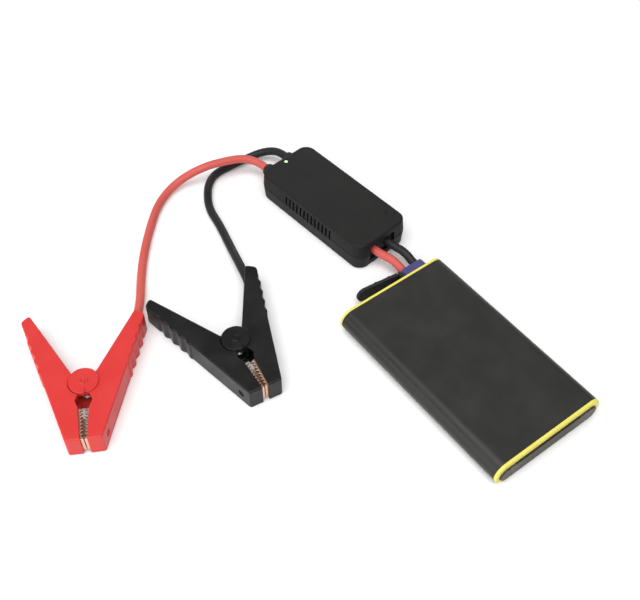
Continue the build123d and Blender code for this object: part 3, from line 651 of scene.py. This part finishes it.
# ---- operators ----
class JUMPSTARTER_OT_stage(bpy.types.Operator):
    """Pale floor, soft light and the camera."""

    bl_idname = "jumpstarter.stage"
    bl_label = "Stage"

    def execute(self, context):
        values = context.scene.jump_starter_stage
        self.camera(context)
        self.floor(context, values)
        self.lights(context, values)
        return {"FINISHED"}

    def camera(self, context):
        azimuth, elevation, roll = math.radians(-37.03), math.radians(50.32), math.radians(-0.23)
        right = Vector((math.cos(azimuth), math.sin(azimuth), 0))
        level = Vector((-math.sin(azimuth), math.cos(azimuth), 0))
        ahead = level * math.cos(elevation) - Vector((0, 0, math.sin(elevation)))
        up = right.cross(ahead)
        side = right * math.cos(roll) + up * math.sin(roll)
        top = up * math.cos(roll) - right * math.sin(roll)
        data = bpy.data.cameras.new("studio_camera")
        data.sensor_width = 36.0
        data.lens = 55.87
        data.clip_start = 0.01
        camera = bpy.data.objects.new("studio_camera", data)
        turn = Matrix((side, top, -ahead)).transposed().to_4x4()
        camera.matrix_world = Matrix.Translation((-0.2733, -0.2218, 0.4762)) @ turn
        context.scene.collection.objects.link(camera)
        context.scene.camera = camera

    def floor(self, context, values):
        bm = bmesh.new()
        bmesh.ops.create_grid(bm, x_segments=1, y_segments=1, size=3.0)
        material = finish(
            "Studio Floor", values.floor, rough=0.7, grain=300.0, depth=0.0, marks=0.0, dust=0.0
        )
        floor = link_mesh(bm, "studio_floor", material)

    def lights(self, context, values):
        world = bpy.data.worlds.new("White Room")
        world.use_nodes = True
        background = world.node_tree.nodes["Background"]
        background.inputs["Color"].default_value = (1.0, 1.0, 1.0, 1.0)
        background.inputs["Strength"].default_value = values.sky
        context.scene.world = world
        context.scene.view_settings.view_transform = "Standard"
        middle = Vector((-0.05, 0.12, 0.0))
        lamps = (
            ("key_light", (-0.30, -0.10, 1.30), (1.5, 1.2), values.key_power),
            ("side_light", (-1.05, 0.05, 0.34), (1.5, 0.66), values.side_power),
            ("edge_light", (-0.62, -0.85, 0.80), (0.9, 0.22), values.edge_power),
            ("rim_light", (0.62, 1.05, 0.36), (1.1, 0.20), values.rim_power),
        )
        for name, place, size, power in lamps:
            data = bpy.data.lights.new(name, "AREA")
            data.shape = "RECTANGLE"
            data.size, data.size_y = size
            data.energy = power
            lamp = bpy.data.objects.new(name, data)
            lamp.location = place
            lamp.rotation_euler = (middle - Vector(place)).to_track_quat("-Z", "Y").to_euler()
            context.scene.collection.objects.link(lamp)


class JUMPSTARTER_OT_cables(bpy.types.Operator):
    """The two silicone clamp cables."""

    bl_idname = "jumpstarter.cables"
    bl_label = "Clamp Cables"

    def execute(self, context):
        diameter = sizes().cable_diameter
        for colour, route, length in (("red", RED_ROUTE, 0.211), ("black", BLACK_ROUTE, 0.180)):
            shade_of = getattr(colours(), f"{colour}_cable")
            material = silicone(f"{colour.title()} Silicone", shade_of)
            piece = cord_curve(f"clamp_cable_{colour}_silicone", route, diameter, material)
            settle(piece, f"clamp_cable_{colour}")
        return {"FINISHED"}


class JUMPSTARTER_OT_bank(bpy.types.Operator):
    """Sleeve, trim rings, end plates and the smoked window of the bank."""

    bl_idname = "jumpstarter.bank"
    bl_label = "Battery Bank"

    def execute(self, context):
        anodised = finish(
            "Anodised Sleeve",
            colours().sleeve,
            rough=0.40,
            grain=1500.0,
            depth=0.000012,
            marks=0.35,
            dust=0.01,
            metallic=0.35,
            stretch=(1.0, 0.03, 1.0),
            marked=(0.039, 0.038, 0.036),
        )
        moulded("sleeve", anodised, 0.00012)
        yellow = finish(
            "Yellow Trim",
            colours().trim,
            rough=0.36,
            marks=0.2,
            dust=0.01,
            marked=lighter(colours().trim, 0.9),
        )
        for node in ("rear_trim_ring", "front_trim_ring"):
            moulded(node, yellow, 0.00015)
        moulded("front_window", self.smoked(), 0.0002)
        for node in ("rear_plate", "front_frame"):
            moulded(node, black_moulding())
        return {"FINISHED"}

    def smoked(self):
        """Glossy smoked plastic with a painted highlight: lighter, blotchy patches towards both
        sides along X, in place of reflections.
        """
        material = finish(
            "Smoked Window",
            colours().window,
            rough=0.30,
            grain=700.0,
            depth=0.00001,
            marks=0.5,
            dust=0.01,
            specular=0.14,
            marked=(0.05, 0.044, 0.034),
        )
        tree = material.node_tree
        place = tree.nodes.new("ShaderNodeTexCoord").outputs["Object"]
        split = tree.nodes.new("ShaderNodeSeparateXYZ")
        tree.links.new(place, split.inputs[0])
        # Painted highlight: the two outer parts of the window along X get lighter blotches that
        # stand in for reflections on the glossy panel.
        across = maths(tree, "ABSOLUTE", split.outputs["X"], 0.0)
        glint_sides = remap(tree, across, 0.019, 0.027, 0.0, 1.0)
        glint_blotches = remap(tree, noise(tree, place, 900.0, 4.0, 0.7), 0.42, 0.66, 0.0, 1.0)
        mask = maths(tree, "MULTIPLY", glint_sides, glint_blotches, clamp=True)
        shader = tree.nodes["Principled BSDF"]
        under = shader.inputs["Base Color"].links[0].from_socket
        # Brownish-grey colour of the painted highlight blotches.
        glinted_colour = mix_colour(tree, mask, under, (0.11, 0.10, 0.08))
        tree.links.new(glinted_colour, shader.inputs["Base Color"])
        return material


class JUMPSTARTER_OT_sockets(bpy.types.Operator):
    """Sockets, contacts and the power button in the rear end of the bank."""

    bl_idname = "jumpstarter.sockets"
    bl_label = "Sockets"

    def execute(self, context):
        blue = plug_blue()
        moulded("jump_socket", blue)
        brass = brass_plate()
        moulded("socket_contacts", brass, 0.00005)
        moulded("data_sockets", plated_steel(), 0.00006)
        white = finish("Tongue Plastic", (0.70, 0.70, 0.67), rough=0.5)
        moulded("socket_tongues", white, 0.0001)
        moulded("power_button", black_rubber(), 0.0001)
        moulded("end_screws", plated_steel(), 0.00008)
        return {"FINISHED"}


def plug_blue():
    return finish(
        "Blue Plug", colours().plug, rough=0.40, grain=2400.0, marks=0.3, dust=0.01
    )


def brass_plate():
    return finish(
        "Contact Plating", colours().brass, rough=0.24, grain=2500.0, metallic=1.0, dust=0.0
    )


class JUMPSTARTER_OT_dust_cover(bpy.types.Operator):
    """Rubber flap and the strap that it hangs from."""

    bl_idname = "jumpstarter.dust_cover"
    bl_label = "Dust Cover"

    def execute(self, context):
        rubber = black_rubber()
        moulded("dust_cover", rubber, 0.0002)
        moulded("cover_strap", rubber, 0.0002)
        return {"FINISHED"}


class JUMPSTARTER_OT_plug(bpy.types.Operator):
    """Blue plug, its contacts and the two short leads."""

    bl_idname = "jumpstarter.plug"
    bl_label = "Plug"

    def execute(self, context):
        moulded("plug_shell", plug_blue(), 0.00025)
        moulded("plug_pins", brass_plate(), 0.00005)
        for colour in ("red", "black"):
            material = silicone(f"{colour.title()} Silicone", getattr(colours(), f"{colour}_cable"))
            moulded(f"short_lead_{colour}", material, 0.0)
        return {"FINISHED"}


class JUMPSTARTER_OT_control_box(bpy.types.Operator):
    """Box shells, strain block, cable boots, screws and the status light."""

    bl_idname = "jumpstarter.control_box"
    bl_label = "Control Box"

    def execute(self, context):
        for node in ("box_top", "box_bottom"):
            moulded(node, black_moulding())
        rubber = black_rubber()
        moulded("strain_block", rubber)
        moulded("case_screws", plated_steel(), 0.00008)
        self.boots(rubber)
        self.light()
        return {"FINISHED"}

    def boots(self, rubber):
        """Tapered boots with grooves, each turned about its own cable."""
        y = BOX_LENGTH / 2
        for side, label in ((-1, "red"), (1, "black")):
            profile = [
                (0.0, -0.0026),
                (BOOT_NECK_R, -0.0026),
                (BOOT_NECK_R, 0.0001),
                (BOOT_R, 0.0001),
            ]
            rings = sizes().boot_rings
            for index in range(rings):
                start = 0.0012 + index * 0.0018
                radius = BOOT_R - start * 0.26
                profile += [
                    (radius, start),
                    (radius - 0.0006, start + 0.0002),
                    (radius - 0.0006, start + 0.0008),
                    (radius - 0.0002, start + 0.0010),
                ]
            profile += [(BOOT_TIP_R, BOOT_END), (0.0, BOOT_END)]
            bm = turned(profile)
            shade(bm)
            place = Matrix.Translation((side * BOOT_PITCH / 2 * MM, y * MM, LEAD_Z * MM))
            along = Matrix.Rotation(math.radians(-90), 4, "X")
            bm.transform(box_matrix() @ place @ along)
            boot = link_mesh(bm, f"cable_boot_{label}", rubber)
            round_edges(boot, 0.00012)
            settle(boot, "cable_boots")

    def light(self):
        """Domed light pipe that glows green."""
        glow = finish("Status Light", colours().light, rough=0.2, marks=0.1, dust=0.0)
        shader = glow.node_tree.nodes["Principled BSDF"]
        shader.inputs["Emission Color"].default_value = (0.62, 1.0, 0.48, 1.0)
        shader.inputs["Emission Strength"].default_value = 0.55
        low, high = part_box("status_light")
        middle = (low + high) / 2
        top = high.z - 0.00035
        profile = [
            (0.0, low.z),
            (0.0018, low.z),
            (0.0018, low.z + 0.0016),
            (0.0012, low.z + 0.0016),
            (0.0012, top),
            (0.0009, top + 0.0003),
            (0.00045, top + 0.00042),
            (0.0, top + 0.00046),
        ]
        bm = turned(profile, steps=32)
        shade(bm)
        bm.transform(Matrix.Translation((middle.x, middle.y, 0)))
        lens = link_mesh(bm, "status_light_lens", glow)
        round_edges(lens, 0.0)
        settle(lens, "status_light")


class JUMPSTARTER_OT_clamps(bpy.types.Operator):
    """Covers, jaws, caps and screws of the two clamps."""

    bl_idname = "jumpstarter.clamps"
    bl_label = "Clamps"

    def execute(self, context):
        for colour in CLAMPS:
            plastic = self.plastic(colour)
            for node in ("fixed_cover", "moving_cover", "pivot_cap"):
                moulded(f"{colour}_{node}", plastic, 0.00025)
            for node in ("fixed_jaw", "moving_jaw"):
                moulded(f"{colour}_{node}", copper(), 0.00012)
            self.screws(colour, plastic)
        moulded("pivot_pins", plated_steel(), 0.0001)
        moulded("cable_crimps", copper(), 0.0001)
        return {"FINISHED"}

    def plastic(self, colour):
        tone = getattr(colours(), f"{colour}_clamp")
        marked = lighter(tone, 1.12, 0.012) if colour == "red" else lighter(tone, 1.7, 0.008)
        return finish(
            f"{colour.title()} Clamp Plastic",
            tone,
            rough=0.33,
            grain=1900.0,
            depth=0.00002,
            marks=0.3,
            dust=0.01,
            specular=0.30,
            marked=marked,
        )

    def screws(self, colour, plastic):
        """Slotted screws, capped in the cover's own plastic, through the outer sides."""
        for side, body, node in (
            (1, "harness", "fixed_jaw_screws"),
            (-1, CLAMPS[colour]["moving"], f"{colour}_moving_jaw_screw"),
        ):
            profile = [
                (0.0, -0.0044),
                (SCREW_SHAFT_R, -0.0044),
                (SCREW_SHAFT_R, -0.0007),
                (SCREW_HEAD_R, -0.0007),
                (SCREW_HEAD_R, -SCREW_SLOT_DEPTH),
                (0.0, -SCREW_SLOT_DEPTH),
            ]
            bm = turned(profile, steps=32)
            for half in (-1, 1):
                half_head(bm, half)
            shade(bm)
            slope = math.radians(SIDE_SLOPE)
            side_y = NOSE_SIDE_Y + (NOSE_X - JAW_SCREW_X) * math.tan(slope)
            foot = Vector((JAW_SCREW_X * MM, side * side_y * MM, CLAMP_THICK / 2 * MM))
            outward = Vector((math.sin(slope), side * math.cos(slope), 0))
            turn = outward.to_track_quat("Z", "Y").to_matrix().to_4x4()
            sink = Matrix.Translation(foot - outward * 0.0005)
            bm.transform(clamp_matrix(colour) @ sink @ turn)
            label = "fixed" if side > 0 else "moving"
            screw = link_mesh(bm, f"{colour}_{label}_screw", plastic)
            round_edges(screw, 0.0)
            settle(screw, node, body)


class JUMPSTARTER_OT_springs(bpy.types.Operator):
    """Wound wire springs between the two halves of each clamp."""

    bl_idname = "jumpstarter.springs"
    bl_label = "Springs"

    def execute(self, context):
        for colour in CLAMPS:
            self.spring(colour)
        return {"FINISHED"}

    def spring(self, colour):
        """Coil whose two straight legs leave it along its tangents."""
        turns = sizes().spring_turns
        wire = sizes().spring_wire / 2
        low, high, radius, leg = 0.0048, 0.0102, 0.0046, 0.026
        lean = math.radians(138)
        start = math.atan2(math.cos(lean), math.sin(lean))
        sweep = math.tau * turns - 2 * start
        coil = []
        for index in range(turns * 10 + 1):
            share = index / (turns * 10)
            angle = start + sweep * share
            height = low + (high - low) * share
            coil.append(Vector((radius * math.cos(angle), radius * math.sin(angle), height)))
        first = coil[0] + Vector((math.cos(lean), -math.sin(lean), 0)) * leg
        last = coil[-1] + Vector((math.cos(lean), math.sin(lean), 0)) * leg
        route = [first, *coil, last]
        line = round_curve(f"{colour}_spring_line", route, wire, around=3, along=3)
        bpy.context.view_layer.update()
        wound = line.evaluated_get(bpy.context.evaluated_depsgraph_get())
        mesh = bpy.data.meshes.new_from_object(wound)
        bpy.data.objects.remove(line)
        mesh.transform(clamp_matrix(colour))
        mesh.materials.clear()
        mesh.materials.append(plated_steel())
        piece = bpy.data.objects.new(f"{colour}_wound_spring", mesh)
        bpy.context.scene.collection.objects.link(piece)
        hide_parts(f"{colour}_torsion_spring")
        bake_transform(piece)


class JUMPSTARTER_OT_inside(bpy.types.Operator):
    """Finishes of the cells, boards and small parts inside the housings."""

    bl_idname = "jumpstarter.inside"
    bl_label = "Inside"

    def execute(self, context):
        board = finish(
            "Solder Mask", (0.015, 0.16, 0.06), rough=0.35, grain=900.0, marks=0.4, coat=0.3
        )
        foil = finish(
            "Pouch Foil", (0.55, 0.56, 0.58), rough=0.35, grain=500.0, depth=0.0001, metallic=0.9
        )
        clear = finish("Clear Lens", (0.72, 0.76, 0.74), rough=0.15, coat=0.5)
        mirror = finish("Mirror Coat", (0.8, 0.8, 0.8), rough=0.1, metallic=1.0, depth=0.000005)
        choices = {
            board: ("main_board", "front_board", "control_board"),
            foil: ("battery_cells", "heat_sink", "box_capacitor"),
            clear: ("torch_led", "level_lights"),
            mirror: ("torch_reflector",),
            copper(): ("bus_bars",),
            black_rubber(): ("foam_pad",),
            black_moulding(): ("board_parts", "button_switch", "relays", "power_chips"),
            silicone("Red Silicone", colours().red_cable): ("box_wires",),
        }
        for material, nodes in choices.items():
            for node in nodes:
                paint(node, material)
        return {"FINISHED"}


STEPS = (
    JUMPSTARTER_OT_stage,
    JUMPSTARTER_OT_cables,
    JUMPSTARTER_OT_bank,
    JUMPSTARTER_OT_sockets,
    JUMPSTARTER_OT_dust_cover,
    JUMPSTARTER_OT_plug,
    JUMPSTARTER_OT_control_box,
    JUMPSTARTER_OT_clamps,
    JUMPSTARTER_OT_springs,
    JUMPSTARTER_OT_inside,
)


class JUMPSTARTER_PT_panel(bpy.types.Panel):
    """Sizes, colours and the steps that build the jump starter."""

    bl_idname = "JUMPSTARTER_PT_panel"
    bl_label = "Jump Starter"
    bl_space_type = "VIEW_3D"
    bl_region_type = "UI"
    bl_category = "Jump Starter"

    def draw(self, context):
        scene = context.scene
        groups = (scene.jump_starter_sizes, scene.jump_starter_colours, scene.jump_starter_stage)
        for group in groups:
            column = self.layout.column(align=True)
            for name in group.bl_rna.properties.keys():
                if name not in ("rna_type", "name"):
                    column.prop(group, name)
        for step in STEPS:
            self.layout.operator(step.bl_idname)


GROUPS = (JumpStarterSizes, JumpStarterColours, JumpStarterStage)


def register():
    for item in (*GROUPS, *STEPS, JUMPSTARTER_PT_panel):
        bpy.utils.register_class(item)
    bpy.types.Scene.jump_starter_sizes = PointerProperty(type=JumpStarterSizes)
    bpy.types.Scene.jump_starter_colours = PointerProperty(type=JumpStarterColours)
    bpy.types.Scene.jump_starter_stage = PointerProperty(type=JumpStarterStage)


def unregister():
    del bpy.types.Scene.jump_starter_stage
    del bpy.types.Scene.jump_starter_colours
    del bpy.types.Scene.jump_starter_sizes
    for item in (JUMPSTARTER_PT_panel, *reversed(STEPS), *reversed(GROUPS)):
        bpy.utils.unregister_class(item)


def main():
    register()
    for step in STEPS:
        module, name = step.bl_idname.split(".")
        getattr(getattr(bpy.ops, module), name)()
    bpy.context.view_layer.update()


if __name__ == "__main__":
    main()
